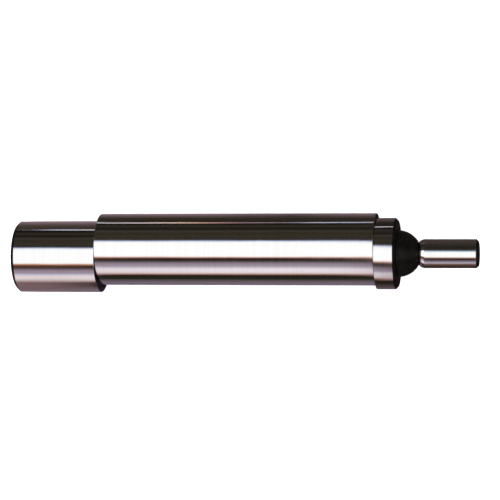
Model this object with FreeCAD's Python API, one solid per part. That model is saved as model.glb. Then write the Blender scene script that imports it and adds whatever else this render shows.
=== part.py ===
# Double-ended mechanical edge finder, 1/2 in shank, .500 in and .200 in contacts.
#
# The tool lies along X: the large contact at -X, the small contact at +X, +Z up.
# The origin is on the shank's axis at the middle of its length.
# A hollow hardened shank carries a contact on each lapped end face. One
# extension spring runs through the shank's bore and pulls both contacts onto
# their faces. Each end of the spring is coned down over the stem of a swivel
# eye, with a thrust washer between the cone and the eye's riveted head, and a
# cross pin pressed through the contact passes through the eye.
# Each contact can be pulled off its face against the spring, turned about the
# shank's axis, and slid sideways along its cross pin.
# All dimensions are in millimetres.
import FreeCAD, Part
import math
import os

from FreeCAD import Base

V = Base.Vector

# ---------------------------------------------------------------- dimensions
# shank
SHANK_D = 12.70          # ground gripping diameter, 1/2 in
SHANK_LEN = 49.49        # between the lapped end faces
SHANK_BORE_D = 5.60      # clearance bore for the spring
SHANK_EDGE = 0.10        # edge break on the end faces
FACE_GAP = 0.02          # oil film between a contact and its lapped face

# large contact
LARGE_D = 12.70          # measuring diameter, .500 in
LARGE_LEN = 15.24
LARGE_END_CHAMFER = 0.50
LARGE_FACE_EDGE = 0.06
LARGE_BORE_DEPTH = 6.20
LARGE_PIN_X = 3.00       # cross pin, from the contact's own face
LARGE_OFFSET = 1.30      # how far off axis the contact stands at rest

# small contact
FLANGE_D = 12.50
FLANGE_LEN = 3.70
FLANGE_CHAMFER = 0.40
FLANGE_FACE_EDGE = 0.06
DOME_R = 4.10            # spherical neck standing on the flange's face
DOME_LEN = 3.60
SMALL_LEN = 17.78
TIP_D = 5.08             # measuring diameter, .200 in
TIP_SHOULDER_R = 1.40    # rounded shoulder where the tip meets the neck
TIP_CHAMFER = 0.40
SMALL_BORE_DEPTH = 4.30
SMALL_PIN_X = 1.95
SMALL_OFFSET = 0.75

CONTACT_BORE_D = 5.50
DRILL_ANGLE = 118.0      # included angle of a drilled hole's end
PIN_D = 1.588            # 1/16 in cross pin

# swivel eye
EYE_WIRE_D = 0.80
EYE_INNER_R = 0.95
EYE_STEM_D = 1.00
EYE_PLAY = 0.13          # the eye's bore is pulled this far past the pin's centre
RIVET_D = 2.20
RIVET_LEN = 0.60

# thrust washer
WASHER_D = 3.00
WASHER_BORE_D = 1.12
WASHER_LEN = 0.50
WASHER_X = 19.05         # outer face, from the middle of the shank
WASHER_PLAY = 0.03

# extension spring
SPRING_WIRE_D = 0.80
SPRING_MEAN_R = 2.00
SPRING_PITCH = 1.20
SPRING_TURNS = 31        # straight turns
CONE_TURNS = 2.0         # coned turns at each end
CONE_R = 1.06            # mean radius where the cone ends


# ---------------------------------------------------------------- helpers
def revolve(edges):
    """Solid of revolution about X from a closed profile in the XY half plane."""
    face = Part.Face(Part.Wire(edges))
    solid = face.revolve(V(0, 0, 0), V(1, 0, 0), 360)
    return solid if solid.ShapeType == "Solid" else Part.Solid(solid.Shells[0])


def polyline(points):
    return [
        Part.LineSegment(V(*a, 0), V(*b, 0)).toShape()
        for a, b in zip(points, points[1:])
    ]


def lathe(points):
    return revolve(polyline(points + points[:1]))


def cylinder_x(r, x0, x1, y=0.0):
    return Part.makeCylinder(r, x1 - x0, V(x0, y, 0), V(1, 0, 0))


def cylinder_y(r, x, length):
    return Part.makeCylinder(r, length, V(x, -length / 2, 0), V(0, 1, 0))


def mirrored_x(shape):
    return shape.mirror(V(0, 0, 0), V(1, 0, 0))


def drilled_hole(r, x_mouth, depth, direction):
    """Blind hole from x_mouth along X, with a drill point."""
    point = r / math.tan(math.radians(DRILL_ANGLE / 2))
    x1 = x_mouth + direction * depth
    return lathe(
        [
            (x_mouth - direction * 1.0, 0),
            (x_mouth - direction * 1.0, r),
            (x1, r),
            (x1 + direction * point, 0),
        ]
    )


# ---------------------------------------------------------------- the pieces
def make_shank():
    h, r, b, c = SHANK_LEN / 2, SHANK_D / 2, SHANK_BORE_D / 2, SHANK_EDGE
    return lathe(
        [
            (-h, b + 0.15),
            (-h, r - c),
            (-h + c, r),
            (h - c, r),
            (h, r - c),
            (h, b + 0.15),
            (h - 0.15, b),
            (-h + 0.15, b),
        ]
    )


def make_large_contact():
    """Plain cylinder with a drilled bore in its lapped face."""
    x0 = -(SHANK_LEN / 2 + FACE_GAP)
    x1 = x0 - LARGE_LEN
    r, c, e = LARGE_D / 2, LARGE_END_CHAMFER, LARGE_FACE_EDGE
    body = lathe(
        [(x0, 0), (x0, r - e), (x0 - e, r), (x1 + c, r), (x1, r - c), (x1, 0)]
    )
    body = body.cut(drilled_hole(CONTACT_BORE_D / 2, x0, LARGE_BORE_DEPTH, -1))
    body = body.cut(cylinder_y(PIN_D / 2, x0 - LARGE_PIN_X, 2 * LARGE_D))
    body.translate(V(0, -LARGE_OFFSET, 0))
    return body


def make_small_contact():
    """Flange, spherical neck and measuring tip, turned in one piece."""
    x0 = SHANK_LEN / 2 + FACE_GAP
    xf = x0 + FLANGE_LEN
    xn = xf + DOME_LEN
    x1 = x0 + SMALL_LEN
    rf, rt = FLANGE_D / 2, TIP_D / 2
    neck = math.sqrt(DOME_R**2 - DOME_LEN**2)
    # shoulder: an arc tangent to the tip's cylinder that ends on the neck
    drop = rt - neck
    run = math.sqrt(TIP_SHOULDER_R**2 - (TIP_SHOULDER_R - drop) ** 2)
    xs = xn + run
    dome_mid = math.radians(45)
    shoulder_a = math.radians(90) + 0.5 * math.acos(
        (TIP_SHOULDER_R - drop) / TIP_SHOULDER_R
    )
    edges = polyline(
        [
            (x0, 0),
            (x0, rf - FLANGE_FACE_EDGE),
            (x0 + FLANGE_FACE_EDGE, rf),
            (xf - FLANGE_CHAMFER, rf),
            (xf, rf - FLANGE_CHAMFER),
            (xf, DOME_R),
        ]
    )
    edges.append(
        Part.Arc(
            V(xf, DOME_R, 0),
            V(xf + DOME_R * math.sin(dome_mid / 1.3), DOME_R * math.cos(dome_mid / 1.3), 0),
            V(xn, neck, 0),
        ).toShape()
    )
    edges.append(
        Part.Arc(
            V(xn, neck, 0),
            V(
                xs + TIP_SHOULDER_R * math.cos(shoulder_a),
                rt - TIP_SHOULDER_R + TIP_SHOULDER_R * math.sin(shoulder_a),
                0,
            ),
            V(xs, rt, 0),
        ).toShape()
    )
    edges += polyline(
        [(xs, rt), (x1 - TIP_CHAMFER, rt), (x1, rt - TIP_CHAMFER), (x1, 0), (x0, 0)]
    )
    body = revolve(edges)
    body = body.cut(drilled_hole(CONTACT_BORE_D / 2, x0, SMALL_BORE_DEPTH, 1))
    body = body.cut(cylinder_y(PIN_D / 2, x0 + SMALL_PIN_X, 2 * FLANGE_D))
    body.translate(V(0, -SMALL_OFFSET, 0))
    return body


def make_pin(x, contact_d, y):
    """Cross pin pressed through a contact and ground flush with it."""
    pin = cylinder_y(PIN_D / 2, x, 2 * contact_d)
    pin = pin.common(cylinder_x(contact_d / 2, x - 2, x + 2))
    pin.translate(V(0, y, 0))
    return pin


def make_eye(pin_x):
    """Eye, stem and riveted head on the +X side, with the eye at pin_x."""
    xe = pin_x - EYE_PLAY
    major = EYE_INNER_R + EYE_WIRE_D / 2
    loop = Part.makeTorus(major, EYE_WIRE_D / 2, V(xe, 0, 0), V(0, 1, 0))
    head_x = WASHER_X - WASHER_LEN - WASHER_PLAY
    stem = cylinder_x(EYE_STEM_D / 2, head_x - 0.1, xe - major)
    head = lathe(
        [
            (head_x, 0),
            (head_x, RIVET_D / 2),
            (head_x - 0.6 * RIVET_LEN, RIVET_D / 2),
            (head_x - RIVET_LEN, 0.6 * RIVET_D / 2),
            (head_x - RIVET_LEN, 0),
        ]
    )
    return loop.fuse([stem, head]).removeSplitter()


def make_washer():
    x1, x0 = WASHER_X, WASHER_X - WASHER_LEN
    r, b, c = WASHER_D / 2, WASHER_BORE_D / 2, 0.12
    return lathe(
        [(x0, b), (x0, r), (x1 - c, r), (x1, r - c), (x1, b)]
    )


def spring_path():
    """Straight turns with a coned length at each end, about the X axis."""
    turns = SPRING_TURNS + 2 * CONE_TURNS
    per_turn = 20
    n = int(turns * per_turn)
    half = turns * SPRING_PITCH / 2
    points = []
    for i in range(n + 1):
        t = i / per_turn
        end = min(t, turns - t)
        k = max(0.0, 1 - end / CONE_TURNS)
        k = k * k * (3 - 2 * k)
        r = SPRING_MEAN_R - (SPRING_MEAN_R - CONE_R) * k
        a = 2 * math.pi * t
        points.append(V(-half + t * SPRING_PITCH, r * math.cos(a), r * math.sin(a)))
    return points


def make_spring():
    points = spring_path()
    curve = Part.BSplineCurve()
    curve.interpolate(points)
    path = Part.Wire(curve.toShape())
    start = curve.value(curve.FirstParameter)
    tangent = curve.tangent(curve.FirstParameter)[0]
    profile = Part.Wire(Part.makeCircle(SPRING_WIRE_D / 2, start, tangent))
    shell = Part.BRepOffsetAPI.MakePipeShell(path)
    shell.setFrenetMode(True)
    shell.add(profile)
    shell.build()
    shell.makeSolid()
    return shell.shape()


# ---------------------------------------------------------------- assembly
def build():
    face = SHANK_LEN / 2 + FACE_GAP
    large_pin_x = -(face + LARGE_PIN_X)
    small_pin_x = face + SMALL_PIN_X
    washer = make_washer()
    return {
        "shank": make_shank(),
        "large_contact": make_large_contact(),
        "large_cross_pin": make_pin(large_pin_x, LARGE_D, -LARGE_OFFSET),
        "large_swivel_eye": mirrored_x(make_eye(-large_pin_x)),
        "large_thrust_washer": mirrored_x(washer),
        "small_contact": make_small_contact(),
        "small_cross_pin": make_pin(small_pin_x, FLANGE_D, -SMALL_OFFSET),
        "small_swivel_eye": make_eye(small_pin_x),
        "small_thrust_washer": washer,
        "tension_spring": make_spring(),
    }


def main():
    os.makedirs("parts", exist_ok=True)
    for name, shape in build().items():
        solids = shape.Solids
        bb = shape.BoundBox
        print(
            f"{name:22s} solids {len(solids)} valid {shape.isValid()} volume {shape.Volume:9.3f}"
            f"  x {bb.XMin:8.3f} {bb.XMax:8.3f}  y {bb.YMin:7.3f} {bb.YMax:7.3f}  z {bb.ZMin:7.3f} {bb.ZMax:7.3f}"
        )
        shape.exportStep(os.path.join("parts", name + ".step"))


if __name__ == "__main__":
    main()
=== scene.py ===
"""Looks for the double-ended mechanical edge finder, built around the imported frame.

Metres, in the CAD's own frame: the tool lies along X on a table, the large
contact at -X, the small contact at +X, +Z up.
"""

import math

import bmesh
import bpy
import numpy as np
from mathutils import Matrix, Vector


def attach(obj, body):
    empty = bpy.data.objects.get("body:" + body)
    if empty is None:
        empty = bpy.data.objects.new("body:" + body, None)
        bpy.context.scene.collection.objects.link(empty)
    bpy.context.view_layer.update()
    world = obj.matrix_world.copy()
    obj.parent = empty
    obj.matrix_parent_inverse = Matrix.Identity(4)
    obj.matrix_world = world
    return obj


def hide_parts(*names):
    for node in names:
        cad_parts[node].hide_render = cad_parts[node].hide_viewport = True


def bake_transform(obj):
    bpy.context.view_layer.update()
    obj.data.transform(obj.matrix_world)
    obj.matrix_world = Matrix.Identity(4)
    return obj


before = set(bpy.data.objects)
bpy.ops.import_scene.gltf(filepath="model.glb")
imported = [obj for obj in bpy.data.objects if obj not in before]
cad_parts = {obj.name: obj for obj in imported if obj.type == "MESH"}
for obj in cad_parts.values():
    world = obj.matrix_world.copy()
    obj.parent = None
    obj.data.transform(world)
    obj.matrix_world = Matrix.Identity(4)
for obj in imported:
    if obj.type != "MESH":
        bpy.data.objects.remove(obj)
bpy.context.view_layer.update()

MM = 0.001
SCENE = bpy.context.scene

# ------------------------------------------------------------------ dimensions
# millimetres, repeated from the design
SHANK_R = 6.35
SHANK_HALF = 24.745
SHANK_BORE_R = 2.80
SHANK_EDGE = 0.10

FACE_X = 24.765
LARGE_R = 6.35
LARGE_LEN = 15.24
LARGE_CHAMFER = 0.50
LARGE_FACE_EDGE = 0.06
LARGE_BORE_DEPTH = 6.20
LARGE_PIN_X = -27.765
LARGE_Y = -1.30

FLANGE_R = 6.25
FLANGE_LEN = 3.70
FLANGE_CHAMFER = 0.40
FLANGE_FACE_EDGE = 0.06
DOME_R = 4.10
DOME_LEN = 3.60
SMALL_LEN = 17.78
TIP_R = 2.54
TIP_SHOULDER_R = 1.40
TIP_CHAMFER = 0.40
SMALL_BORE_DEPTH = 4.30
SMALL_PIN_X = 26.715
SMALL_Y = -0.75

CONTACT_BORE_R = 2.75
DRILL_HALF_ANGLE = 59.0
PIN_R = 0.794

EYE_WIRE_R = 0.40
EYE_INNER_R = 0.95
EYE_STEM_R = 0.50
EYE_PLAY = 0.13
RIVET_R = 1.10
RIVET_LEN = 0.60

WASHER_R = 1.50
WASHER_BORE_R = 0.56
WASHER_LEN = 0.50
WASHER_X = 19.05

SPRING_WIRE_R = 0.40
SPRING_MEAN_R = 2.00
SPRING_PITCH = 1.20
SPRING_TURNS = 31
CONE_TURNS = 2.0
CONE_R = 1.06

FLOOR_Z = -6.35


# ------------------------------------------------------------------ mesh tools
class Profile:
    """A profile in the (x, radius) plane as straight and curved runs.

    Each run is (points, normals, material): its own exact normals, so that a
    corner stays crisp and a curve stays smooth.
    """

    def __init__(self):
        self.runs = []
        self.at = None

    def move(self, x, r):
        self.at = (x, r)
        return self

    def line(self, x, r, mat=0, outward=1, parts=1):
        (x0, r0), (x1, r1) = self.at, (x, r)
        dx, dr = x1 - x0, r1 - r0
        n = math.hypot(dx, dr)
        normal = (-outward * dr / n, outward * dx / n)
        pts = [
            (x0 + dx * i / parts, r0 + dr * i / parts) for i in range(parts + 1)
        ]
        self.runs.append((pts, [normal] * (parts + 1), mat))
        self.at = (x1, r1)
        return self

    def arc(self, cx, cr, radius, a0, a1, mat=0, sign=1, parts=8):
        """From angle a0 to a1 in degrees about (cx, cr). sign 1 is a convex edge."""
        pts, nor = [], []
        for i in range(parts + 1):
            a = math.radians(a0 + (a1 - a0) * i / parts)
            pts.append((cx + radius * math.cos(a), cr + radius * math.sin(a)))
            nor.append((sign * math.cos(a), sign * math.sin(a)))
        if self.at is not None:
            pts[0] = self.at
        self.runs.append((pts, nor, mat))
        self.at = pts[-1]
        return self


def rounded(corners, outward=1):
    """A profile through corners (x, r, radius, material of the run that leaves it).

    Each corner with a radius becomes a tangent arc of four chords, so an edge
    catches the light as a real broken edge does. A fifth value is the arc's own
    material.
    """
    prof = Profile()
    n = len(corners)
    cuts = []
    for i, corner in enumerate(corners):
        x, r, rad = corner[:3]
        if i in (0, n - 1) or rad <= 0:
            cuts.append(None)
            continue
        p = np.array([x, r])
        a = np.array(corners[i - 1][:2]) - p
        b = np.array(corners[i + 1][:2]) - p
        ua, ub = a / np.linalg.norm(a), b / np.linalg.norm(b)
        half = math.acos(max(-1, min(1, float(ua @ ub)))) / 2
        t = rad / math.tan(half)
        c = p + (ua + ub) / np.linalg.norm(ua + ub) * rad / math.sin(half)
        cuts.append((p + ua * t, p + ub * t, c, rad))
    prof.move(*corners[0][:2])
    for i in range(1, n):
        mat = corners[i - 1][3]
        if cuts[i] is None:
            prof.line(corners[i][0], corners[i][1], mat, outward)
            continue
        p0, p1, c, rad = cuts[i]
        prof.line(float(p0[0]), float(p0[1]), mat, outward)
        a0 = math.atan2(p0[1] - c[1], p0[0] - c[0])
        a1 = math.atan2(p1[1] - c[1], p1[0] - c[0])
        while a1 - a0 > math.pi:
            a1 -= 2 * math.pi
        while a1 - a0 < -math.pi:
            a1 += 2 * math.pi
        first = prof.runs[-1][1][-1]
        along = (math.cos(a0), math.sin(a0))
        sign = 1 if first[0] * along[0] + first[1] * along[1] > 0 else -1
        own = corners[i][3] if rad < 0.1 else mat
        if len(corners[i]) > 4:
            own = corners[i][4]
        prof.arc(
            float(c[0]), float(c[1]), rad, math.degrees(a0), math.degrees(a1),
            own, sign, 4,
        )
        prof.at = (float(p1[0]), float(p1[1]))
    return prof


def lathe(name, prof, y=0.0, steps=192, closed=False):
    """A welded solid of revolution about the line (y, z=0) parallel to X."""
    pts, segs = [], []
    for run_pts, run_nor, mat in prof.runs:
        if not pts:
            pts.append(run_pts[0])
        for i in range(1, len(run_pts)):
            if math.dist(run_pts[i], pts[-1]) < 1e-6:
                continue
            pts.append(run_pts[i])
            segs.append((len(pts) - 2, len(pts) - 1, run_nor[i - 1], run_nor[i], mat))
    if closed:
        pts.pop()
        a, b, n0, n1, m = segs[-1]
        segs[-1] = (a, 0, n0, n1, m)
    verts, ring = [], []
    for x, r in pts:
        if r < 1e-6:
            ring.append([len(verts)] * steps)
            verts.append((x * MM, y * MM, 0.0))
            continue
        ring.append(list(range(len(verts), len(verts) + steps)))
        for k in range(steps):
            a = 2 * math.pi * k / steps
            verts.append(
                (x * MM, (y + r * math.cos(a)) * MM, r * math.sin(a) * MM)
            )
    faces, mats, normals = [], [], []

    def normal(n, k):
        a = 2 * math.pi * k / steps
        return (n[0], n[1] * math.cos(a), n[1] * math.sin(a))

    for i, j, n0, n1, mat in segs:
        for k in range(steps):
            k1 = (k + 1) % steps
            a, b, c, d = ring[i][k], ring[j][k], ring[j][k1], ring[i][k1]
            na, nb, nc, nd = normal(n0, k), normal(n1, k), normal(n1, k1), normal(n0, k1)
            if ring[i][0] == ring[i][1]:
                face, nn = [a, b, c], [normal(n0, k + 0.5), nb, nc]
            elif ring[j][0] == ring[j][1]:
                face, nn = [a, b, d], [na, normal(n1, k + 0.5), nd]
            else:
                face, nn = [a, b, c, d], [na, nb, nc, nd]
            p = [Vector(verts[v]) for v in face]
            g = (p[1] - p[0]).cross(p[-1] - p[0])
            if g.dot(Vector(nn[0]) + Vector(nn[1]) + Vector(nn[2])) < 0:
                face.reverse()
                nn.reverse()
            faces.append(face)
            mats.append(mat)
            normals.extend(nn)
    mesh = bpy.data.meshes.new(name)
    mesh.from_pydata(verts, [], faces)
    mesh.polygons.foreach_set("material_index", mats)
    mesh.polygons.foreach_set("use_smooth", [True] * len(faces))
    mesh.update()
    mesh.normals_split_custom_set(normals)
    obj = bpy.data.objects.new(name, mesh)
    SCENE.collection.objects.link(obj)
    return obj


def exact_normals(obj, prof, y, hole_mat, hole_x):
    """Sets the loop normals again after a cut: the profile's own on turned faces,
    and those of the cross hole on its wall."""
    segs = []
    for run_pts, run_nor, mat in prof.runs:
        for i in range(1, len(run_pts)):
            segs.append((run_pts[i - 1], run_pts[i], run_nor[i - 1], run_nor[i]))
    p0 = np.array([s[0] for s in segs])
    p1 = np.array([s[1] for s in segs])
    n0 = np.array([s[2] for s in segs])
    n1 = np.array([s[3] for s in segs])
    d = p1 - p0
    dd = np.maximum((d * d).sum(1), 1e-12)
    mesh = obj.data
    out = []
    for poly in mesh.polygons:
        c = poly.center / MM
        if poly.material_index == hole_mat:
            for v in poly.vertices:
                q = mesh.vertices[v].co / MM
                out.append(Vector((hole_x - q.x, 0, -q.z)).normalized())
            continue
        g = poly.normal
        rc = math.hypot(c.y - y, c.z)
        q = np.array([c.x, rc])
        radial = ((c.y - y) / max(rc, 1e-9), c.z / max(rc, 1e-9))
        t = np.clip(((q - p0) * d).sum(1) / dd, 0, 1)
        gap = np.linalg.norm(p0 + d * t[:, None] - q, axis=1)
        gr = g.y * radial[0] + g.z * radial[1]
        agree = n0[:, 0] * g.x + n0[:, 1] * gr
        gap = gap + np.where(agree > 0.7, 0, 5.0)
        k = int(gap.argmin())
        for v in poly.vertices:
            w = mesh.vertices[v].co / MM
            rv = math.hypot(w.y - y, w.z)
            u = ((w.y - y) / rv, w.z / rv) if rv > 1e-5 else radial
            tv = float(np.clip((np.array([w.x, rv]) - p0[k]) @ d[k] / dd[k], 0, 1))
            n = n0[k] * (1 - tv) + n1[k] * tv
            out.append(Vector((n[0], n[1] * u[0], n[1] * u[1])).normalized())
    mesh.normals_split_custom_set(out)


def cross_hole(obj, prof, x, y, radius, hole_mat):
    """Drills the cross pin's hole right through, along Y."""
    steps = 72
    bm = bmesh.new()
    bmesh.ops.create_cone(
        bm, cap_ends=True, segments=steps, radius1=radius * MM,
        radius2=radius * MM, depth=20 * MM,
        matrix=Matrix.Translation((x * MM, y * MM, 0)) @ Matrix.Rotation(math.pi / 2, 4, "X"),
    )
    for f in bm.faces:
        f.material_index = hole_mat
        f.smooth = True
    tool_mesh = bpy.data.meshes.new("drill")
    bm.to_mesh(tool_mesh)
    bm.free()
    for m in obj.data.materials:
        tool_mesh.materials.append(m)
    tool = bpy.data.objects.new("drill", tool_mesh)
    SCENE.collection.objects.link(tool)
    mod = obj.modifiers.new("drill", "BOOLEAN")
    mod.operation = "DIFFERENCE"
    mod.solver = "EXACT"
    mod.material_mode = "TRANSFER"
    mod.object = tool
    bpy.context.view_layer.update()
    cut = bpy.data.meshes.new_from_object(
        obj.evaluated_get(bpy.context.evaluated_depsgraph_get())
    )
    obj.modifiers.clear()
    old = obj.data
    obj.data = cut
    cut.name = old.name + "_drilled"
    bpy.data.meshes.remove(old)
    bpy.data.objects.remove(tool)
    bpy.data.meshes.remove(tool_mesh)
    obj.data.polygons.foreach_set("use_smooth", [True] * len(obj.data.polygons))
    exact_normals(obj, prof, y, hole_mat, x)


def tube(name, path, radius, sides=16, caps=True):
    """A swept wire with rotation-minimising frames, in millimetres."""
    path = [Vector(p) for p in path]
    n = len(path)
    tangents = []
    for i in range(n):
        a, b = path[max(i - 1, 0)], path[min(i + 1, n - 1)]
        tangents.append((b - a).normalized())
    ref = Vector((0, 0, 1)) if abs(tangents[0].z) < 0.8 else Vector((0, 1, 0))
    u = (ref - ref.dot(tangents[0]) * tangents[0]).normalized()
    verts, faces = [], []
    for i in range(n):
        t = tangents[i]
        u = (u - u.dot(t) * t).normalized()
        v = t.cross(u)
        for k in range(sides):
            a = 2 * math.pi * k / sides
            verts.append((path[i] + radius * (u * math.cos(a) + v * math.sin(a))) * MM)
    for i in range(n - 1):
        for k in range(sides):
            k1 = (k + 1) % sides
            faces.append(
                (i * sides + k, i * sides + k1, (i + 1) * sides + k1, (i + 1) * sides + k)
            )
    if caps:
        faces.append(tuple(reversed(range(sides))))
        faces.append(tuple(range((n - 1) * sides, n * sides)))
    mesh = bpy.data.meshes.new(name)
    mesh.from_pydata(verts, [], faces)
    smooth = [True] * len(faces)
    if caps:
        smooth[-1] = smooth[-2] = False
    mesh.polygons.foreach_set("use_smooth", smooth)
    mesh.update()
    obj = bpy.data.objects.new(name, mesh)
    SCENE.collection.objects.link(obj)
    return obj


# ------------------------------------------------------------------- materials
def new_material(name):
    m = bpy.data.materials.new(name)
    m.use_nodes = True
    nt = m.node_tree
    nt.nodes.clear()
    out = nt.nodes.new("ShaderNodeOutputMaterial")
    bsdf = nt.nodes.new("ShaderNodeBsdfPrincipled")
    nt.links.new(bsdf.outputs["BSDF"], out.inputs["Surface"])
    return m, nt, bsdf


def node(nt, kind, **values):
    n = nt.nodes.new(kind)
    for k, v in values.items():
        setattr(n, k, v)
    return n


def stretched_noise(nt, scale, detail=3.0, rough=0.55, seed=0.0):
    """Noise in the piece's own coordinates, with a scale for each axis per metre."""
    co = node(nt, "ShaderNodeTexCoord")
    mp = node(nt, "ShaderNodeMapping")
    mp.inputs["Location"].default_value = (seed, seed * 1.7, seed * 0.6)
    mp.inputs["Scale"].default_value = scale
    nt.links.new(co.outputs["Object"], mp.inputs["Vector"])
    nz = node(nt, "ShaderNodeTexNoise")
    nz.inputs["Scale"].default_value = 1.0
    nz.inputs["Detail"].default_value = detail
    nz.inputs["Roughness"].default_value = rough
    nt.links.new(mp.outputs["Vector"], nz.inputs["Vector"])
    return nz.outputs["Fac"]


def remap(nt, value, a, b, lo=0.3, hi=0.7):
    r = node(nt, "ShaderNodeMapRange")
    r.inputs["From Min"].default_value = lo
    r.inputs["From Max"].default_value = hi
    r.inputs["To Min"].default_value = a
    r.inputs["To Max"].default_value = b
    nt.links.new(value, r.inputs["Value"])
    return r.outputs["Result"]


def math_node(nt, op, a, b):
    n = node(nt, "ShaderNodeMath", operation=op)
    for i, v in enumerate((a, b)):
        if isinstance(v, (int, float)):
            n.inputs[i].default_value = v
        else:
            nt.links.new(v, n.inputs[i])
    return n.outputs[0]


def mix_colour(nt, fac, a, b):
    n = node(nt, "ShaderNodeMix", data_type="RGBA")
    if isinstance(fac, (int, float)):
        n.inputs["Factor"].default_value = fac
    else:
        nt.links.new(fac, n.inputs["Factor"])
    for key, v in (("A", a), ("B", b)):
        sock = [s for s in n.inputs if s.name == key and s.type == "RGBA"][0]
        if isinstance(v, (tuple, list)):
            sock.default_value = (*v, 1.0)
        else:
            nt.links.new(v, sock)
    return [s for s in n.outputs if s.type == "RGBA"][0]


def bump(nt, bsdf, height, distance, strength=1.0, before=None):
    b = node(nt, "ShaderNodeBump")
    b.inputs["Strength"].default_value = strength
    b.inputs["Distance"].default_value = distance
    nt.links.new(height, b.inputs["Height"])
    if before is not None:
        nt.links.new(before, b.inputs["Normal"])
    nt.links.new(b.outputs["Normal"], bsdf.inputs["Normal"])
    return b.outputs["Normal"]


def ground_steel(name, bright, dark, rough, seed, lay=1.0):
    """Hardened steel ground between centres: a fine lay round the axis, faint
    chatter, and the smudges and small scratches of handling."""
    m, nt, b = new_material(name)
    b.inputs["Metallic"].default_value = 1.0
    b.inputs["Anisotropic"].default_value = 0.5
    b.inputs["Anisotropic Rotation"].default_value = 0.25
    tangent = node(nt, "ShaderNodeTangent", direction_type="RADIAL", axis="X")
    nt.links.new(tangent.outputs["Tangent"], b.inputs["Tangent"])
    lay_coarse = stretched_noise(nt, (2600, 45, 45), 2.0, 0.6, seed)
    lay_fine = stretched_noise(nt, (11000, 90, 90), 2.0, 0.7, seed + 3.1)
    smudge = stretched_noise(nt, (90, 160, 160), 4.0, 0.55, seed + 7.7)
    scratch = stretched_noise(nt, (160, 2300, 2300), 3.0, 0.75, seed + 5.3)
    scratch = remap(nt, scratch, 0.0, 1.0, 0.66, 0.80)
    tone = math_node(nt, "ADD", math_node(nt, "MULTIPLY", lay_coarse, 0.55), math_node(nt, "MULTIPLY", smudge, 0.45))
    colour = mix_colour(nt, remap(nt, tone, 0.0, 1.0, 0.36, 0.64), dark, bright)
    nt.links.new(colour, b.inputs["Base Color"])
    r = remap(nt, lay_coarse, rough * 0.88, rough * 1.12)
    r = math_node(nt, "ADD", r, remap(nt, smudge, -0.012, 0.03, 0.42, 0.72))
    r = math_node(nt, "ADD", r, math_node(nt, "MULTIPLY", scratch, 0.06))
    nt.links.new(r, b.inputs["Roughness"])
    wave = stretched_noise(nt, (110, 420, 420), 2.0, 0.5, seed + 11.9)
    height = math_node(nt, "ADD", math_node(nt, "MULTIPLY", lay_fine, 0.45), lay_coarse)
    first = bump(nt, b, wave, 1.1e-5)
    bump(nt, b, height, 2.2e-6 * lay, before=first)
    return m


def lapped_steel(name, bright, dark, rough, seed, glance=1.0):
    """A flat face: fine rings from facing and the cross marks of lapping. glance is how
    much of the usual shine the face keeps at a glancing angle; below 1 it is painted shade."""
    m, nt, b = new_material(name)
    b.inputs["Metallic"].default_value = 1.0
    b.inputs["Specular Tint"].default_value = (glance, glance, glance, 1.0)
    rings = stretched_noise(nt, (60, 900, 900), 4.0, 0.7, seed)
    fine = stretched_noise(nt, (60, 5200, 5200), 2.0, 0.6, seed + 2.2)
    colour = mix_colour(nt, remap(nt, rings, 0.0, 1.0), dark, bright)
    nt.links.new(colour, b.inputs["Base Color"])
    nt.links.new(remap(nt, rings, rough * 0.85, rough * 1.2), b.inputs["Roughness"])
    bump(nt, b, fine, 1.6e-6)
    return m


def turned_face(name, bright, dark, rough, seed, axis_y):
    """An end face turned square: rings about the piece's own axis, and smudges."""
    m, nt, b = new_material(name)
    b.inputs["Metallic"].default_value = 1.0
    b.inputs["Anisotropic"].default_value = 0.6
    b.inputs["Anisotropic Rotation"].default_value = 0.25
    tangent = node(nt, "ShaderNodeTangent", direction_type="RADIAL", axis="X")
    nt.links.new(tangent.outputs["Tangent"], b.inputs["Tangent"])
    co = node(nt, "ShaderNodeTexCoord")
    parts = node(nt, "ShaderNodeSeparateXYZ")
    nt.links.new(co.outputs["Object"], parts.inputs["Vector"])
    y = math_node(nt, "SUBTRACT", parts.outputs["Y"], axis_y * MM)
    z = parts.outputs["Z"]
    radial = math_node(
        nt, "SQRT", math_node(nt, "ADD", math_node(nt, "MULTIPLY", y, y), math_node(nt, "MULTIPLY", z, z)), 0.0
    )

    def rings(scale, detail, offset):
        nz = node(nt, "ShaderNodeTexNoise", noise_dimensions="1D")
        nz.inputs["Scale"].default_value = 1.0
        nz.inputs["Detail"].default_value = detail
        nz.inputs["Roughness"].default_value = 0.65
        w = math_node(nt, "ADD", math_node(nt, "MULTIPLY", radial, scale), seed + offset)
        nt.links.new(w, nz.inputs["W"])
        return nz.outputs["Fac"]

    coarse, fine = rings(2400.0, 3.0, 0.0), rings(11000.0, 2.0, 5.7)
    smudge = stretched_noise(nt, (200, 260, 260), 4.0, 0.55, seed + 3.3)
    tone = math_node(nt, "ADD", math_node(nt, "MULTIPLY", coarse, 0.6), math_node(nt, "MULTIPLY", smudge, 0.4))
    nt.links.new(mix_colour(nt, remap(nt, tone, 0.0, 1.0, 0.36, 0.64), dark, bright), b.inputs["Base Color"])
    r = math_node(nt, "ADD", remap(nt, coarse, rough * 0.85, rough * 1.15), remap(nt, smudge, -0.02, 0.05, 0.42, 0.72))
    nt.links.new(r, b.inputs["Roughness"])
    height = math_node(nt, "ADD", math_node(nt, "MULTIPLY", fine, 0.4), coarse)
    bump(nt, b, height, 2.6e-6)
    return m


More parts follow.
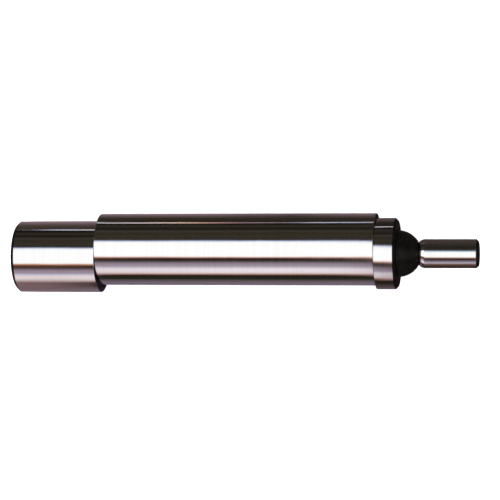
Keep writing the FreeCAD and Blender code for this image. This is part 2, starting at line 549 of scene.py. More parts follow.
def black_oxide(name, seed, rough=0.36, worn=0.35, shine=0.08):
    """Blackened turned steel: tool rings, an uneven film, and a little bare metal
    showing through where it is handled."""
    m, nt, b = new_material(name)
    b.inputs["Specular IOR Level"].default_value = shine
    turned = stretched_noise(nt, (7000, 130, 130), 2.0, 0.55, seed)
    film = stretched_noise(nt, (420, 420, 420), 5.0, 0.6, seed + 4.4)
    speck = stretched_noise(nt, (5200, 5200, 5200), 2.0, 0.5, seed + 9.9)
    base = mix_colour(nt, remap(nt, film, 0.0, 1.0), (0.0020, 0.0018, 0.0016), (0.0046, 0.0040, 0.0035))
    bare = math_node(nt, "MULTIPLY", remap(nt, speck, 0.0, 1.0, 0.66, 0.80), worn)
    colour = mix_colour(nt, bare, base, (0.060, 0.054, 0.049))
    nt.links.new(colour, b.inputs["Base Color"])
    nt.links.new(remap(nt, film, rough * 0.85, rough * 1.25), b.inputs["Roughness"])
    nt.links.new(remap(nt, bare, 0.25, 0.75, 0.0, 1.0), b.inputs["Metallic"])
    bump(nt, b, turned, 3.0e-6)
    return m


def wire_steel(name, bright, dark, rough, seed, grain=(700, 700, 700)):
    """Drawn or tumbled wire under a thin film of oil."""
    m, nt, b = new_material(name)
    b.inputs["Metallic"].default_value = 1.0
    b.inputs["Coat Weight"].default_value = 0.25
    b.inputs["Coat Roughness"].default_value = 0.12
    body = stretched_noise(nt, grain, 4.0, 0.6, seed)
    fine = stretched_noise(nt, (6000, 6000, 6000), 2.0, 0.5, seed + 1.3)
    nt.links.new(mix_colour(nt, remap(nt, body, 0.0, 1.0), dark, bright), b.inputs["Base Color"])
    nt.links.new(remap(nt, body, rough * 0.8, rough * 1.25), b.inputs["Roughness"])
    bump(nt, b, fine, 1.5e-6)
    return m


STEEL_SHANK = ground_steel("shank_ground_steel", (0.645, 0.630, 0.618), (0.605, 0.588, 0.573), 0.090, 0.0)
STEEL_LARGE = ground_steel("large_contact_ground_steel", (0.640, 0.625, 0.612), (0.600, 0.584, 0.570), 0.090, 13.0)
STEEL_SMALL = ground_steel("small_contact_ground_steel", (0.640, 0.625, 0.612), (0.600, 0.584, 0.570), 0.090, 17.0)
# Lapped contact faces: a base far darker than bare steel and a glancing shine cut to 0.42 are painted shade on the
# faces seen edge-on.
SHADED_FACE_STEEL = lapped_steel("lapped_face_steel_painted_shade", (0.160, 0.153, 0.147), (0.100, 0.096, 0.092), 0.22, 21.0, 0.42)
STEEL_END = turned_face("turned_end_steel", (0.60, 0.588, 0.575), (0.47, 0.458, 0.445), 0.20, 71.0, LARGE_Y)
OXIDE = black_oxide("black_oxide_steel", 31.0)
OXIDE_EDGE = black_oxide("black_oxide_edge", 37.0, 0.34, 0.30, 0.02)
BORE = lapped_steel("drilled_bore_steel", (0.22, 0.21, 0.20), (0.12, 0.115, 0.11), 0.42, 41.0)
HOLE = lapped_steel("reamed_hole_steel", (0.30, 0.29, 0.28), (0.20, 0.19, 0.18), 0.35, 43.0)
PIN_STEEL = lapped_steel("flush_pin_steel", (0.60, 0.59, 0.58), (0.50, 0.49, 0.48), 0.20, 47.0)
EYE_STEEL = wire_steel("eye_wire_steel", (0.50, 0.49, 0.475), (0.38, 0.37, 0.36), 0.24, 53.0)
WASHER_STEEL = wire_steel("washer_tumbled_steel", (0.52, 0.50, 0.475), (0.40, 0.385, 0.365), 0.30, 59.0)
SPRING_STEEL = wire_steel("spring_music_wire", (0.34, 0.33, 0.32), (0.22, 0.212, 0.205), 0.22, 61.0)


def dress(obj, *materials):
    """Gives a mesh its materials and keeps each face's own index."""
    mesh = obj.data
    index = [p.material_index for p in mesh.polygons]
    mesh.materials.clear()
    for m in materials:
        mesh.materials.append(m)
    mesh.polygons.foreach_set("material_index", [min(i, len(materials) - 1) for i in index])


# ------------------------------------------------------------------ the pieces
def make_shank():
    h, r, b = SHANK_HALF, SHANK_R, SHANK_BORE_R
    #        x, r, edge radius, material of the run that follows
    corners = [
        (0, r, 0, 0),
        (h, r, SHANK_EDGE, 2, 0),
        (h, b + 0.15, 0.02, 3),
        (h - 0.15, b, 0.02, 3),
        (-h + 0.15, b, 0.02, 3),
        (-h, b + 0.15, 0.02, 2),
        (-h, r, SHANK_EDGE, 0, 0),
        (0, r, 0, 0),
    ]
    prof = rounded(corners)
    obj = lathe("edge_finder_shank", prof, 0.0, 256, closed=True)
    dress(obj, STEEL_SHANK, OXIDE_EDGE, SHADED_FACE_STEEL, BORE)
    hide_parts("shank")
    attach(obj, "shank")
    return obj


def drill_point(depth_x, r, direction):
    return depth_x + direction * r / math.tan(math.radians(DRILL_HALF_ANGLE))


def make_large_contact():
    x0, x1 = -FACE_X, -FACE_X - LARGE_LEN
    r, c, e, b = LARGE_R, LARGE_CHAMFER, LARGE_FACE_EDGE, CONTACT_BORE_R
    xb = x0 - LARGE_BORE_DEPTH
    corners = [
        (x1, 0, 0, 5),
        (x1, r - c, 0.05, 1),
        (x1 + c, r, 0.04, 1),
        (x1 + c + 0.12, r, 0, 0),
        (x0, r, e, 2, 0),
        (x0, b, 0.03, 3),
        (xb, b, 0.0, 3),
        (drill_point(xb, b, -1), 0, 0, 3),
    ]
    prof = rounded(corners)
    obj = lathe("large_measuring_contact", prof, LARGE_Y, 256)
    dress(obj, STEEL_LARGE, OXIDE_EDGE, SHADED_FACE_STEEL, BORE, HOLE, STEEL_END)
    cross_hole(obj, prof, LARGE_PIN_X, LARGE_Y, PIN_R + 0.006, 4)
    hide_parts("large_contact")
    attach(obj, "large_contact")
    return obj


def make_small_contact():
    x0 = FACE_X
    xf, x1 = x0 + FLANGE_LEN, x0 + SMALL_LEN
    xn = xf + DOME_LEN
    rf, rt = FLANGE_R, TIP_R
    c, e, b = FLANGE_CHAMFER, FLANGE_FACE_EDGE, CONTACT_BORE_R
    neck = math.sqrt(DOME_R**2 - DOME_LEN**2)
    drop = rt - neck
    run = math.sqrt(TIP_SHOULDER_R**2 - (TIP_SHOULDER_R - drop) ** 2)
    xs = xn + run
    xb = x0 + SMALL_BORE_DEPTH
    # bore and flange, up to the foot of the spherical neck
    first = rounded(
        [
            (drill_point(xb, b, 1), 0, 0, 3),
            (xb, b, 0.0, 3),
            (x0, b, 0.03, 2),
            (x0, rf, e, 0, 0),
            (xf - c, rf, 0.04, 1),
            (xf, rf - c, 0.05, 4),
            (xf, DOME_R, 0.0, 4),
        ]
    )
    prof = Profile()
    prof.runs = list(first.runs)
    prof.at = first.at
    end_a = math.degrees(math.atan2(neck, DOME_LEN))
    prof.arc(xf, 0, DOME_R, 90, end_a, 4, 1, 28)
    start_a = 180 - math.degrees(math.asin((TIP_SHOULDER_R - drop) / TIP_SHOULDER_R))
    prof.arc(xs, rt - TIP_SHOULDER_R, TIP_SHOULDER_R, start_a, 90, 0, 1, 14)
    last = rounded(
        [
            (xs, rt, 0, 0),
            (x1 - TIP_CHAMFER, rt, 0.12, 1),
            (x1, rt - TIP_CHAMFER, 0.08, 4),
            (x1, 0, 0, 4),
        ]
    )
    prof.runs += last.runs
    obj = lathe("small_measuring_contact", prof, SMALL_Y, 256)
    dress(obj, STEEL_SMALL, OXIDE_EDGE, SHADED_FACE_STEEL, BORE, OXIDE, HOLE)
    cross_hole(obj, prof, SMALL_PIN_X, SMALL_Y, PIN_R + 0.006, 5)
    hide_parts("small_contact")
    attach(obj, "small_contact")
    return obj


def make_pin(name, x, y, radius, cad_node, body):
    """Cross pin along Y, its ends ground to the contact's own curve, with a
    broken edge that leaves a hairline ring in the surface."""
    steps, edge = 64, 0.045
    verts, faces = [], []
    rings = [(PIN_R * k / 8, 0.0) for k in range(1, 8)]
    rings += [(PIN_R - edge, 0.0), (PIN_R - edge * 0.4, edge * 0.25), (PIN_R, edge)]

    def end(sign):
        base = len(verts)
        verts.append((x * MM, (y + sign * radius) * MM, 0.0))
        for rr, sink in rings:
            for k in range(steps):
                a = 2 * math.pi * k / steps
                px, pz = rr * math.cos(a), rr * math.sin(a)
                reach = math.sqrt(radius**2 - pz**2) - sink
                verts.append(((x + px) * MM, (y + sign * reach) * MM, pz * MM))
        for k in range(steps):
            k1 = (k + 1) % steps
            f = [base, base + 1 + k, base + 1 + k1]
            faces.append(f if sign < 0 else f[::-1])
        for i in range(len(rings) - 1):
            a0, b0 = base + 1 + i * steps, base + 1 + (i + 1) * steps
            for k in range(steps):
                k1 = (k + 1) % steps
                f = [a0 + k, b0 + k, b0 + k1, a0 + k1]
                faces.append(f if sign < 0 else f[::-1])
        return base + 1 + (len(rings) - 1) * steps

    low, high = end(-1), end(1)
    for k in range(steps):
        k1 = (k + 1) % steps
        faces.append([low + k, high + k, high + k1, low + k1])
    mesh = bpy.data.meshes.new(name)
    mesh.from_pydata(verts, [], faces)
    mesh.polygons.foreach_set("use_smooth", [True] * len(faces))
    mesh.set_sharp_from_angle(angle=math.radians(30))
    mesh.update()
    obj = bpy.data.objects.new(name, mesh)
    SCENE.collection.objects.link(obj)
    dress(obj, PIN_STEEL)
    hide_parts(cad_node)
    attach(obj, body)
    return obj


def make_eye(name, pin_x, cad_node, body):
    """Swivel eye: a wire loop round the cross pin, a stem and a riveted head."""
    side = 1 if pin_x > 0 else -1
    xe = abs(pin_x) - EYE_PLAY
    major = EYE_INNER_R + EYE_WIRE_R
    head = WASHER_X - WASHER_LEN - 0.03
    # loop, in the plane of the tool's length, closed on itself
    bm = bmesh.new()
    around, section = 72, 20
    grid = []
    for i in range(around):
        a = 2 * math.pi * i / around
        ring = []
        for k in range(section):
            t = 2 * math.pi * k / section
            rr = major + EYE_WIRE_R * math.cos(t)
            ring.append(
                bm.verts.new(
                    (
                        side * (xe + rr * math.cos(a)) * MM,
                        EYE_WIRE_R * math.sin(t) * MM,
                        rr * math.sin(a) * MM,
                    )
                )
            )
        grid.append(ring)
    for i in range(around):
        for k in range(section):
            bm.faces.new(
                [
                    grid[i][k],
                    grid[(i + 1) % around][k],
                    grid[(i + 1) % around][(k + 1) % section],
                    grid[i][(k + 1) % section],
                ]
            )
    bmesh.ops.recalc_face_normals(bm, faces=bm.faces)
    mesh = bpy.data.meshes.new(name)
    bm.to_mesh(mesh)
    bm.free()
    obj = bpy.data.objects.new(name, mesh)
    SCENE.collection.objects.link(obj)
    # stem with its riveted head
    s = side
    pts = [
        (s * (head - RIVET_LEN), 0, 0, 0),
        (s * (head - RIVET_LEN), 0.6 * RIVET_R, 0.10, 0),
        (s * (head - 0.6 * RIVET_LEN), RIVET_R, 0.05, 0),
        (s * head, RIVET_R, 0.04, 0),
        (s * head, EYE_STEM_R, 0.04, 0),
        (s * (xe - major - 0.25), EYE_STEM_R, 0.0, 0),
        (s * (xe - major), EYE_STEM_R * 0.82, 0.0, 0),
        (s * (xe - major), 0, 0, 0),
    ]
    stem = lathe(name + "_stem", rounded(pts, s), 0.0, 48)
    mod = obj.modifiers.new("join", "BOOLEAN")
    mod.operation = "UNION"
    mod.solver = "EXACT"
    mod.object = stem
    bpy.context.view_layer.update()
    joined = bpy.data.meshes.new_from_object(
        obj.evaluated_get(bpy.context.evaluated_depsgraph_get())
    )
    obj.modifiers.clear()
    obj.data = joined
    bpy.data.meshes.remove(mesh)
    bpy.data.objects.remove(stem)
    joined.polygons.foreach_set("use_smooth", [True] * len(joined.polygons))
    joined.set_sharp_from_angle(angle=math.radians(38))
    dress(obj, EYE_STEEL)
    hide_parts(cad_node)
    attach(obj, body)
    return obj


def make_washer(name, side, cad_node, body):
    x1, x0 = WASHER_X, WASHER_X - WASHER_LEN
    r, b = WASHER_R, WASHER_BORE_R
    s = side
    pts = [
        (s * (x0 + x1) / 2, r, 0, 0),
        (s * (x1 - 0.12), r, 0.04, 0),
        (s * x1, r - 0.12, 0.04, 0),
        (s * x1, b, 0.04, 0),
        (s * x0, b, 0.04, 0),
        (s * x0, r, 0.06, 0),
        (s * (x0 + x1) / 2, r, 0, 0),
    ]
    obj = lathe(name, rounded(pts, s), 0.0, 64, closed=True)
    dress(obj, WASHER_STEEL)
    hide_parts(cad_node)
    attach(obj, body)
    return obj


def make_spring_half(name, side):
    """Half of the through spring, from the middle of the shank to one washer."""
    turns = SPRING_TURNS + 2 * CONE_TURNS
    half = turns * SPRING_PITCH / 2
    per_turn = 28
    n = int(round(turns * per_turn / 2))
    path = []
    for i in range(n + 1):
        t = turns / 2 + side * i / per_turn
        t = max(0.0, min(turns, t))
        end = min(t, turns - t)
        k = max(0.0, 1 - end / CONE_TURNS)
        k = k * k * (3 - 2 * k)
        r = SPRING_MEAN_R - (SPRING_MEAN_R - CONE_R) * k
        a = 2 * math.pi * t
        path.append((-half + t * SPRING_PITCH, r * math.cos(a), r * math.sin(a)))
    obj = tube(name, path, SPRING_WIRE_R, 16)
    dress(obj, SPRING_STEEL)
    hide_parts("tension_spring")
    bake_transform(obj)
    return obj


make_shank()
make_large_contact()
make_small_contact()
make_pin("large_contact_cross_pin", LARGE_PIN_X, LARGE_Y, LARGE_R, "large_cross_pin", "large_contact")
make_pin("small_contact_cross_pin", SMALL_PIN_X, SMALL_Y, FLANGE_R, "small_cross_pin", "small_contact")
make_eye("large_eye_swivel", LARGE_PIN_X, "large_swivel_eye", "large_eye")
make_eye("small_eye_swivel", SMALL_PIN_X, "small_swivel_eye", "small_eye")
make_washer("large_spring_washer", -1, "large_thrust_washer", "large_washer")
make_washer("small_spring_washer", 1, "small_thrust_washer", "small_washer")
make_spring_half("spring_large_half", -1)
make_spring_half("spring_small_half", 1)


# ------------------------------------------------------------- table and light
def emission_material(name):
    m = bpy.data.materials.new(name)
    m.use_nodes = True
    nt = m.node_tree
    nt.nodes.clear()
    out = nt.nodes.new("ShaderNodeOutputMaterial")
    em = nt.nodes.new("ShaderNodeEmission")
    at = nt.nodes.new("ShaderNodeAttribute")
    at.attribute_name = "glow"
    nt.links.new(at.outputs["Color"], em.inputs["Color"])
    nt.links.new(em.outputs["Emission"], out.inputs["Surface"])
    try:
        m.cycles.emission_sampling = "NONE"
    except Exception:
        pass
    return m


def only_in_reflections(obj):
    obj.visible_camera = False
    obj.visible_diffuse = False
    obj.visible_shadow = False
    obj.visible_transmission = False
    obj.visible_volume_scatter = False


def interp(table, t):
    """A smooth colour from rows of (position, r, g, b)."""
    xs = [row[0] for row in table]
    return np.stack([np.interp(t, xs, [row[i] for row in table]) for i in (1, 2, 3)], -1)


# Painted reflections round the tool, by angle from straight up in degrees, positive
# towards +Y: a half tube that lights nothing paints a long box over the tool, a dimmer
# panel facing it from the -Y side, and a dark room on the +Y side. The panel is in four
# lengths, one for each diameter of the tool, so each has rows of its own.
OVERHEAD = [
    (-19, 1.60, 1.64, 1.67),
    (19.5, 1.60, 1.64, 1.67),
    (22.4, 1.48, 1.52, 1.60),
    (25.4, 0.94, 1.02, 1.20),
    (28.2, 0.26, 0.33, 0.60),
    (29.8, 0.070, 0.070, 0.090),
    (32, 0.048, 0.039, 0.029),
    (44, 0.056, 0.047, 0.034),
    (52, 0.044, 0.037, 0.026),
    (60, 0.066, 0.058, 0.046),
    (67, 0.020, 0.016, 0.012),
    (74, 0.028, 0.024, 0.018),
    (81, 0.050, 0.044, 0.034),
    (86, 0.014, 0.009, 0.006),
    (92, 0.012, 0.008, 0.006),
]
# How far the box's +Y edge lies from that, in degrees, for each length of the tool.
EDGE_SHIFT = {"large": 1.0, "shank": 0.1, "flange": -2.9, "tip": 0.0}
TENT = {
    "large": [
        (-92, 0.40, 0.27, 0.28),
        (-89, 0.54, 0.39, 0.40),
        (-84, 0.78, 0.60, 0.62),
        (-80, 0.95, 0.86, 0.90),
        (-76, 1.12, 0.98, 1.00),
        (-71, 1.24, 1.06, 1.07),
        (-66, 1.12, 1.02, 1.12),
        (-61, 0.84, 0.84, 1.04),
        (-56, 0.54, 0.50, 0.64),
        (-52, 0.50, 0.40, 0.50),
        (-47, 0.48, 0.38, 0.47),
        (-42, 0.28, 0.20, 0.28),
        (-37, 0.10, 0.070, 0.080),
        (-34.5, 0.070, 0.066, 0.045),
        (-31.5, 0.120, 0.060, 0.034),
        (-28.5, 0.36, 0.080, 0.050),
        (-25.2, 0.84, 0.50, 0.36),
        (-21.9, 1.48, 1.44, 1.42),
    ],
    "shank": [
        (-92, 0.060, 0.030, 0.022),
        (-90, 0.18, 0.080, 0.060),
        (-87, 0.50, 0.27, 0.21),
        (-83, 0.95, 0.72, 0.69),
        (-79, 1.14, 1.06, 1.12),
        (-74, 1.24, 1.14, 1.24),
        (-69, 1.26, 1.19, 1.26),
        (-64, 1.16, 1.08, 1.18),
        (-60, 0.86, 0.80, 0.94),
        (-56, 0.60, 0.54, 0.66),
        (-51, 0.50, 0.42, 0.52),
        (-46, 0.42, 0.34, 0.42),
        (-40, 0.18, 0.140, 0.160),
        (-35.5, 0.030, 0.034, 0.026),
        (-30.4, 0.034, 0.018, 0.010),
        (-28.0, 0.20, 0.065, 0.045),
        (-25.2, 0.92, 0.54, 0.46),
        (-22.6, 1.48, 1.42, 1.40),
    ],
    "flange": [
        (-92, 0.50, 0.28, 0.28),
        (-89, 0.60, 0.38, 0.39),
        (-85, 0.68, 0.54, 0.58),
        (-81, 0.70, 0.64, 0.72),
        (-76, 0.78, 0.68, 0.74),
        (-72, 0.84, 0.70, 0.69),
        (-68, 0.88, 0.80, 0.78),
        (-65, 0.74, 0.70, 0.80),
        (-61, 0.44, 0.38, 0.54),
        (-57, 0.37, 0.28, 0.42),
        (-53, 0.36, 0.28, 0.38),
        (-49, 0.28, 0.22, 0.26),
        (-44, 0.16, 0.125, 0.14),
        (-38, 0.075, 0.058, 0.058),
        (-35, 0.030, 0.024, 0.020),
        (-32.5, 0.018, 0.014, 0.010),
        (-29.9, 0.22, 0.120, 0.075),
        (-27.2, 0.90, 0.47, 0.32),
        (-24.4, 1.34, 1.02, 0.90),
        (-22.0, 1.58, 1.58, 1.58),
    ],
    "tip": [
        (-92, 0.36, 0.24, 0.24),
        (-86, 0.54, 0.40, 0.46),
        (-80, 0.62, 0.54, 0.62),
        (-74, 0.56, 0.57, 0.68),
        (-67, 0.28, 0.28, 0.40),
        (-60, 0.22, 0.18, 0.22),
        (-54, 0.14, 0.105, 0.12),
        (-50, 0.070, 0.026, 0.018),
        (-44, 0.055, 0.016, 0.010),
        (-40, 0.060, 0.018, 0.012),
        (-38.5, 0.20, 0.060, 0.040),
        (-34.5, 0.60, 0.42, 0.36),
        (-30.6, 1.10, 0.96, 0.90),
        (-25, 1.58, 1.60, 1.60),
        (8, 1.60, 1.64, 1.67),
        (12, 1.20, 1.36, 1.46),
        (17.6, 0.52, 0.76, 0.88),
        (24, 0.14, 0.20, 0.28),
        (28, 0.060, 0.060, 0.070),
        (30, 0.050, 0.042, 0.036),
        (44, 0.024, 0.024, 0.016),
        (60, 0.034, 0.030, 0.024),
        (74, 0.050, 0.044, 0.038),
        (92, 0.052, 0.046, 0.040),
    ],
}

# The table as painted into the tool's flanks, by distance in mm from the axis; the dark rows close to the axis are
# painted shade under the tool.
TABLE_NEAR = {
    "large": [
        (0.0, 0.030, 0.026, 0.024),
        (6.4, 0.12, 0.085, 0.095),
        (7.6, 0.32, 0.235, 0.270),
        (12.0, 0.27, 0.180, 0.215),
        (20.0, 0.25, 0.165, 0.185),
        (35.0, 0.29, 0.180, 0.195),
        (60.0, 0.27, 0.165, 0.175),
        (200.0, 0.33, 0.210, 0.220),
        (600.0, 0.40, 0.27, 0.28),
    ],
    "shank": [
        (0.0, 0.030, 0.026, 0.024),
        (6.6, 0.045, 0.038, 0.038),
        (7.6, 0.23, 0.185, 0.28),
        (10.0, 0.23, 0.180, 0.26),
        (14.0, 0.235, 0.190, 0.245),
        (20.0, 0.175, 0.138, 0.152),
        (26.0, 0.092, 0.082, 0.084),
        (34.0, 0.026, 0.026, 0.018),
        (120.0, 0.022, 0.020, 0.014),
        (600.0, 0.040, 0.026, 0.018),
    ],
    "flange": [
        (0.0, 0.030, 0.026, 0.024),
        (6.6, 0.045, 0.038, 0.038),
        (7.6, 0.24, 0.20, 0.27),
        (10.0, 0.16, 0.120, 0.175),
        (12.5, 0.135, 0.098, 0.125),
        (16.0, 0.100, 0.082, 0.088),
        (21.0, 0.068, 0.054, 0.048),
        (28.0, 0.036, 0.026, 0.020),
        (45.0, 0.016, 0.018, 0.012),
        (68.0, 0.036, 0.028, 0.018),
        (110.0, 0.25, 0.135, 0.11),
        (160.0, 0.35, 0.195, 0.17),
        (600.0, 0.50, 0.28, 0.28),
    ],
    "tip": [
        (0.0, 0.030, 0.026, 0.024),
        (7.6, 0.050, 0.036, 0.030),
        (13.5, 0.045, 0.030, 0.024),
        (19.0, 0.090, 0.054, 0.042),
        (25.0, 0.130, 0.078, 0.058),
        (45.0, 0.14, 0.080, 0.060),
        (66.0, 0.18, 0.100, 0.072),
        (120.0, 0.26, 0.16, 0.13),
        (600.0, 0.36, 0.24, 0.24),
    ],
}
# The same for the far (+Y) side; its dark rows close to the axis are painted shade under the tool.
TABLE_FAR = {
    "large": [
        (0.0, 0.030, 0.026, 0.024),
        (6.4, 0.12, 0.085, 0.095),
        (7.6, 0.36, 0.29, 0.31),
        (10.0, 0.28, 0.195, 0.220),
        (13.0, 0.21, 0.145, 0.155),
        (17.0, 0.125, 0.095, 0.090),
        (24.0, 0.080, 0.062, 0.050),
        (40.0, 0.070, 0.056, 0.044),
        (66.0, 0.060, 0.050, 0.050),
        (78.0, 0.030, 0.026, 0.024),
        (600.0, 0.012, 0.009, 0.007),
    ],
    "shank": [
        (0.0, 0.030, 0.026, 0.024),
        (6.6, 0.045, 0.038, 0.038),
        (7.6, 0.36, 0.29, 0.31),
        (10.0, 0.27, 0.190, 0.215),
        (13.0, 0.20, 0.140, 0.150),
        (17.0, 0.105, 0.078, 0.070),
        (24.0, 0.040, 0.032, 0.022),
        (80.0, 0.026, 0.024, 0.018),
        (600.0, 0.012, 0.009, 0.007),
    ],
    "flange": [
        (0.0, 0.030, 0.026, 0.024),
        (6.6, 0.045, 0.038, 0.038),
        (7.6, 0.17, 0.130, 0.135),
        (9.0, 0.13, 0.095, 0.100),
        (11.0, 0.135, 0.100, 0.105),
        (14.0, 0.100, 0.072, 0.070),
        (18.0, 0.052, 0.042, 0.034),
        (26.0, 0.026, 0.022, 0.016),
        (60.0, 0.024, 0.022, 0.020),
        (600.0, 0.012, 0.009, 0.007),
    ],
    "tip": [
        (0.0, 0.030, 0.026, 0.024),
        (7.6, 0.110, 0.080, 0.080),
        (17.0, 0.070, 0.052, 0.045),
        (38.0, 0.078, 0.060, 0.050),
        (600.0, 0.052, 0.046, 0.040),
    ],
}
# A painted strip light along the +Y side, in the table reflection only and lighting nothing: where it starts and ends,
# in mm from the axis, and how bright it is for each length of the tool.
STRIP = {
    "large": (77.0, 105.0, 1.30),
    "shank": (97.0, 200.0, 1.45),
    "flange": (78.0, 110.0, 1.05),
    "tip": (95.0, 195.0, 0.0),
}
# Along the tool, by X in mm: which rows apply, the painted strip's strength and tint,
# the painted panel's strength, and the painted shade close under the far flank.
ALONG = [
    (-400, "large", 0.0, (1.00, 0.92, 1.00), 1.00, 1.00),
    (-120, "large", 0.0, (1.00, 0.92, 1.00), 1.00, 1.00),
    (-60, "large", 0.05, (1.00, 0.92, 1.00), 1.00, 1.00),
    (-40, "large", 0.02, (1.00, 0.90, 0.85), 1.02, 1.00),
    (-37, "large", 0.10, (1.00, 0.92, 0.90), 1.00, 1.00),
    (-35.4, "large", 0.46, (0.95, 0.92, 1.15), 0.98, 1.00),
    (-33.8, "large", 0.88, (0.95, 0.95, 1.25), 0.97, 1.00),
    (-32, "large", 0.92, (0.95, 0.98, 1.35), 0.97, 1.00),
    (-29, "large", 1.10, (1.00, 1.02, 1.20), 1.03, 1.00),
    (-24.9, "large", 1.00, (1.00, 0.95, 1.00), 1.02, 1.00),
    (-24.7, "shank", 0.66, (1.00, 0.96, 1.12), 1.00, 1.00),
    (-19, "shank", 0.72, (1.00, 0.92, 1.04), 0.95, 1.04),
    (-14, "shank", 0.86, (1.00, 0.80, 0.86), 0.94, 1.06),
    (-10, "shank", 0.95, (1.05, 0.74, 0.60), 0.98, 1.04),
    (-6, "shank", 0.74, (1.05, 0.60, 0.48), 1.05, 1.06),
    (-2, "shank", 0.42, (1.05, 0.50, 0.55), 1.02, 0.98),
    (2, "shank", 0.30, (1.00, 0.70, 0.85), 1.02, 0.78),
    (6, "shank", 0.24, (1.00, 0.80, 0.82), 1.06, 0.74),
    (10, "shank", 0.22, (1.00, 0.86, 1.05), 1.02, 0.60),
    (14, "shank", 0.48, (0.98, 0.98, 1.20), 1.04, 0.74),
    (19, "shank", 0.62, (0.92, 1.00, 1.30), 1.00, 0.88),
    (24.7, "shank", 0.50, (0.95, 0.96, 1.15), 0.98, 0.95),
    (24.9, "flange", 1.00, (1.00, 0.96, 1.08), 1.00, 1.00),
    (30.6, "flange", 1.00, (1.00, 0.96, 1.08), 1.00, 1.00),
    (31.0, "tip", 0.0, (1.00, 1.00, 1.00), 1.00, 1.00),
    (44, "tip", 0.0, (1.00, 1.00, 1.00), 1.00, 1.00),
    (60, "tip", 0.0, (1.00, 1.00, 1.00), 1.00, 1.00),
    (120, "tip", 0.0, (1.00, 1.00, 1.00), 1.00, 1.00),
    (400, "tip", 0.0, (1.00, 1.00, 1.00), 1.00, 1.00),
]


def lean(x, run):
    """Fans the painted reflections out from the tool, aimed from the main camera's place at X 73.5 mm, Z 394.5 mm, so
    each length's rows land on its own diameter.
    """
    return x - (73.5 - x) / 394.5 * run


def glow_mesh(name, verts, colours, rows, columns, material):
    """A grid of coloured points, seen only in reflections."""
    faces = []
    for i in range(rows - 1):
        for j in range(columns - 1):
            a = i * columns + j
            faces.append((a, a + 1, a + columns + 1, a + columns))
    mesh = bpy.data.meshes.new(name)
    mesh.from_pydata(verts, [], faces)
    at = mesh.attributes.new("glow", "FLOAT_COLOR", "POINT")
    at.data.foreach_set("color", np.array(colours, np.float32).ravel())
    mesh.materials.append(emission_material(material))
    obj = bpy.data.objects.new(name, mesh)
    SCENE.collection.objects.link(obj)
    only_in_reflections(obj)
    return obj


def make_painted_reflection_tent():
    """A half tube over the tool that only its reflections see: it lights nothing and paints the reflections of the
    box, the panel and the dark room.
    """
    angles = np.arange(-91.5, 92.0, 0.5)
    radius = 360.0
    glow = {}
    for zone, rows in TENT.items():
        if rows[-1][0] < 80:
            shift = EDGE_SHIFT[zone]
            rows = rows + [(r[0] + (shift if 15 < r[0] < 31 else 0), *r[1:]) for r in OVERHEAD]
        glow[zone] = interp(rows, angles)
    verts, colours = [], []
    for i, a in enumerate(angles):
        t = math.radians(a)
        in_panel = max(0.0, 1 - abs((a + 68) / 16) ** 3)
        for x, zone, _, _, panel, _ in ALONG:
            px = lean(x, radius - 5)
            fade = np.interp(px, [-960, -480, -360, 240, 360, 840], [0.05, 0.55, 1, 1, 0.6, 0.05])
            k = fade * (1 + (panel - 1) * in_panel)
            verts.append((px * MM, radius * math.sin(t) * MM, radius * math.cos(t) * MM))
            colours.append((*(glow[zone][i] * k), 1.0))
    return glow_mesh("painted_reflection_tent", verts, colours, len(angles), len(ALONG), "painted_tent_emission")


def make_painted_table_reflection():
    """A painted reflection of the table, seen only in the tool's flanks, with painted shade under the tool and a
    painted strip light.
    """
    near = np.concatenate(
        [
            np.arange(0, 16, 0.5), np.arange(16, 40, 1.0), np.arange(40, 72, 4.0),
            np.arange(72, 126, 1.5), np.arange(126, 200, 3.0), [220, 260, 360, 600],
        ]
    )
    ys = np.concatenate([-near[::-1][:-1], near])
    verts, colours = [], []
    for y in ys:
        d = abs(y)
        run = math.hypot(max(d - 5, 0), 10)
        for x, zone, strip, tint, _, close in ALONG:
            if y <= 0:
                row = interp(TABLE_NEAR[zone], np.array([d]))[0]
                if zone == "large" and x > -34:
                    k = float(np.interp(x, [-34, -30, -25], [1.0, 0.7, 0.35]))
                    row = row * k + interp(TABLE_NEAR["shank"], np.array([d]))[0] * (1 - k)
            else:
                row = interp(TABLE_FAR[zone], np.array([d]))[0]
                # Painted shade close under the far flank.
                if d < 20:
                    row = row * close
                # Painted strip light, added to the table reflection's colour.
                lo, hi, power = STRIP[zone]
                on = float(np.interp(d, [lo - 5, lo, hi, hi * 1.08], [0, 1, 1, 0]))
                row = row + on * strip * power * np.array(tint)
            verts.append((lean(x, run) * MM, y * MM, (FLOOR_Z - 0.02) * MM))
            colours.append((*row, 1.0))
    return glow_mesh("painted_table_reflection", verts, colours, len(ys), len(ALONG), "painted_table_reflection_glow")


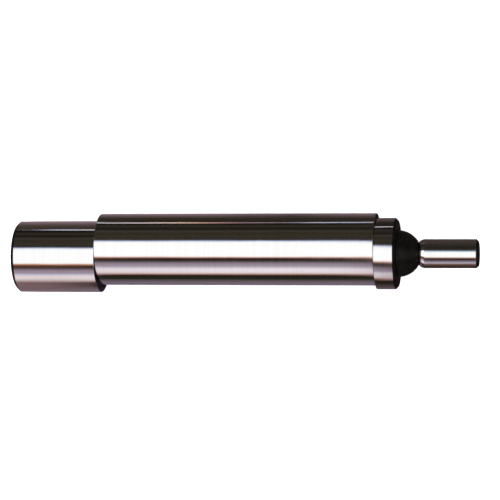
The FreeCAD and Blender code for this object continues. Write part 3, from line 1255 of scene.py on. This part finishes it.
def make_floor():
    bm = bmesh.new()
    bmesh.ops.create_grid(bm, x_segments=2, y_segments=2, size=3.0)
    mesh = bpy.data.meshes.new("floor")
    bm.to_mesh(mesh)
    bm.free()
    floor = bpy.data.objects.new("floor", mesh)
    floor.location = (0, 0, FLOOR_Z * MM)
    SCENE.collection.objects.link(floor)
    m, nt, b = new_material("pale_table")
    tone = stretched_noise(nt, (3, 3, 3), 3.0, 0.5, 2.0)
    nt.links.new(mix_colour(nt, remap(nt, tone, 0.0, 1.0), (0.83, 0.83, 0.835), (0.86, 0.86, 0.862)), b.inputs["Base Color"])
    b.inputs["Roughness"].default_value = 0.8
    b.inputs["Specular IOR Level"].default_value = 0.2
    mesh.materials.append(m)
    floor.visible_glossy = False
    return floor


def area_light(name, place, look, size, power, glossy=False):
    data = bpy.data.lights.new(name, "AREA")
    data.shape = "RECTANGLE"
    data.size, data.size_y = size
    data.energy = power
    obj = bpy.data.objects.new(name, data)
    obj.location = place
    obj.rotation_euler = (Vector(look) - Vector(place)).to_track_quat("-Z", "Y").to_euler()
    SCENE.collection.objects.link(obj)
    obj.visible_camera = False
    obj.visible_glossy = glossy
    return obj


make_painted_reflection_tent()
make_painted_table_reflection()
make_floor()
area_light("over_soft", (-0.05, 0.0, 0.75), (0, 0, 0), (1.6, 1.6), 20.0)
area_light("side_soft", (0.0, -0.8, 0.45), (0, 0, 0), (1.2, 0.8), 6.0)
area_light("back_soft", (0.0, 0.8, 0.45), (0, 0, 0), (1.2, 0.8), 6.0)

world = bpy.data.worlds.new("studio")
SCENE.world = world
world.use_nodes = True
background = world.node_tree.nodes["Background"]
background.inputs["Color"].default_value = (0.86, 0.86, 0.87, 1.0)
background.inputs["Strength"].default_value = 1.0


# --------------------------------------------------------------------- camera
def make_camera():
    distance, theta = 400.9, math.radians(10.26)
    target = Vector((2.145, -0.114, 0.0)) * MM
    back = Vector((math.sin(theta), 0, math.cos(theta)))
    right = Vector((math.cos(theta), 0, -math.sin(theta)))
    up = Vector((0, 1, 0))
    place = target + back * distance * MM
    data = bpy.data.cameras.new("camera")
    data.sensor_width = 36.0
    data.lens = 163.36
    data.clip_start = 0.01
    data.clip_end = 20.0
    cam = bpy.data.objects.new("camera", data)
    cam.matrix_world = Matrix(
        (
            (right.x, up.x, back.x, place.x),
            (right.y, up.y, back.y, place.y),
            (right.z, up.z, back.z, place.z),
            (0, 0, 0, 1),
        )
    )
    SCENE.collection.objects.link(cam)
    SCENE.camera = cam


make_camera()
SCENE.view_settings.view_transform = "Standard"
SCENE.view_settings.look = "None"
